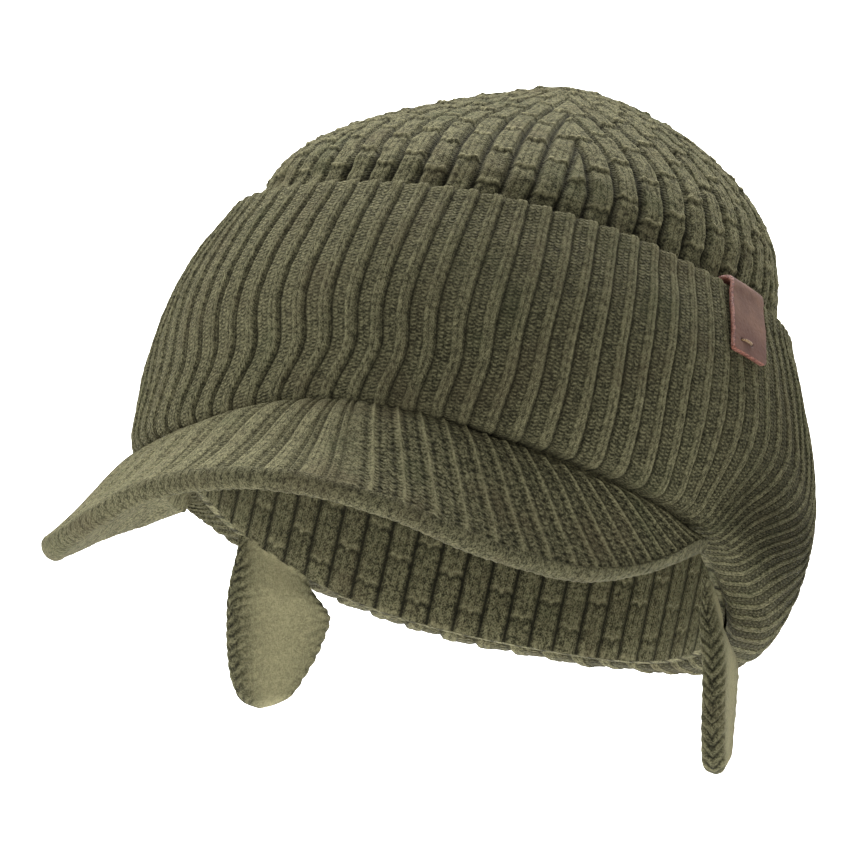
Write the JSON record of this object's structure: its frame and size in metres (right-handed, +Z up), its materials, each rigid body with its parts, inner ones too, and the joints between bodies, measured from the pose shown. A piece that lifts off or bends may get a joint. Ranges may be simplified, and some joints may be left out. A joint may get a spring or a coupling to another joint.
{
  "type": "knitted peaked cap with ear flaps",
  "caption": "Ribbed knit cap with a deep turned-up cuff, a knit-covered peak, hanging ear flaps and a leather tab folded over the cuff's top edge.",
  "frame": {"origin": "middle of the head opening, at the level where the cuff grips the head", "axes": "+Z up, -Y to the front over the peak, +X to the wearer's left side, where the leather tab is"},
  "size_m": [0.1942, 0.2664, 0.1894],
  "materials": {
    "knit": "heathered olive rib knit in thick soft yarn, matt and slightly fuzzy",
    "leather": "matt brown leather with a raw cut edge"
  },
  "bodies": {
    "root": {"crown": "knit", "cuff": "knit", "peak": "knit", "ear_flap_left": "knit", "ear_flap_right": "knit", "leather_tab": "leather"}
  },
  "joints": []
}
